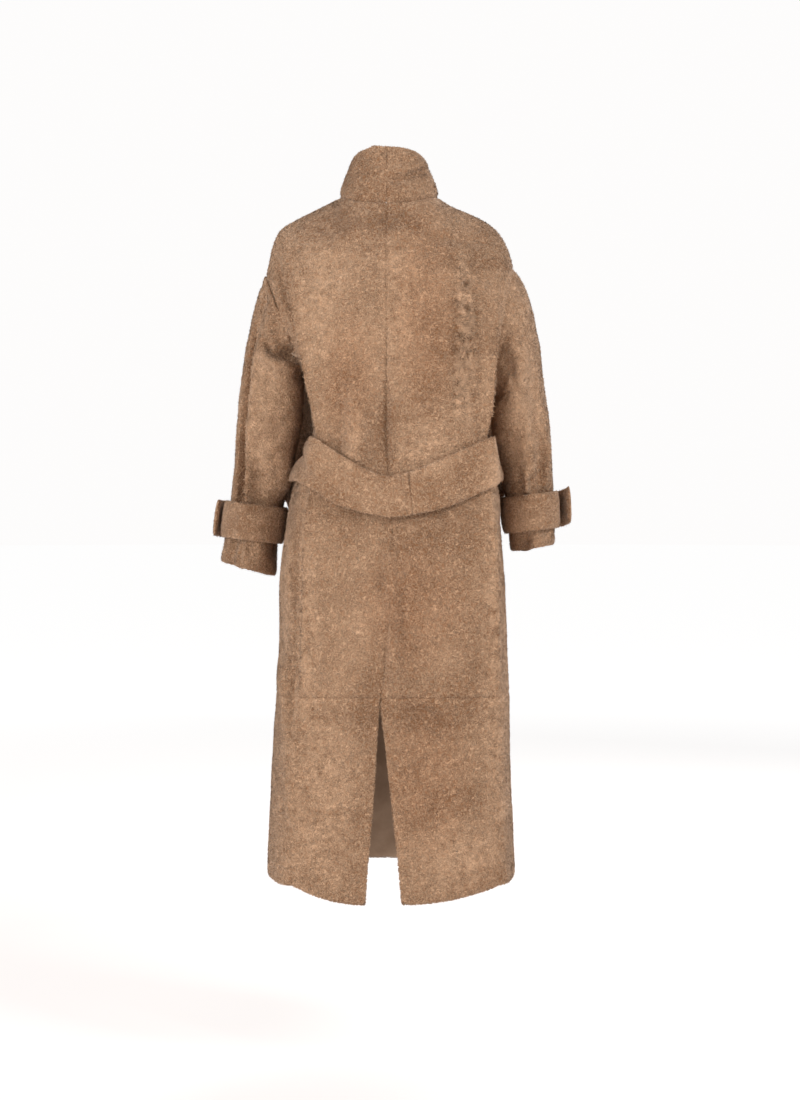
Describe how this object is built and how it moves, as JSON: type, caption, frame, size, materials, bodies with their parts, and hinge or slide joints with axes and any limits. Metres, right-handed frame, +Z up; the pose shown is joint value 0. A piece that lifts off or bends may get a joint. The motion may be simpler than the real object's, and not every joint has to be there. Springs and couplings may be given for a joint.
{
  "type": "shearling coat",
  "caption": "Long shearling coat as worn and left empty: funnel collar, drop shoulders, straight sleeves with cuff straps, loose half belt across the back and a long back vent.",
  "frame": {"origin": "middle of the neck's base, level with the points where the shoulder seams meet the collar", "axes": "+Z up, -Y the coat's front, +Y its back, +X the wearer's left"},
  "size_m": [0.6432, 0.3499, 1.3066],
  "materials": {
    "shearling": "clipped sheepskin wool, mottled light brown, soft nap with a pale sheen at grazing angles",
    "suede": "matt brown suede, the skin side inside the coat"
  },
  "bodies": {
    "root": {"back_left": "shearling", "back_right": "shearling", "back_skirt_left": "shearling", "back_skirt_right": "shearling", "front_left": "shearling", "front_right": "shearling", "sleeve_left": "shearling", "sleeve_right": "shearling", "collar_left": "shearling", "collar_right": "shearling", "cuff_strap_left": "shearling", "cuff_strap_right": "shearling", "belt_left": "shearling", "belt_right": "shearling"}
  },
  "joints": []
}
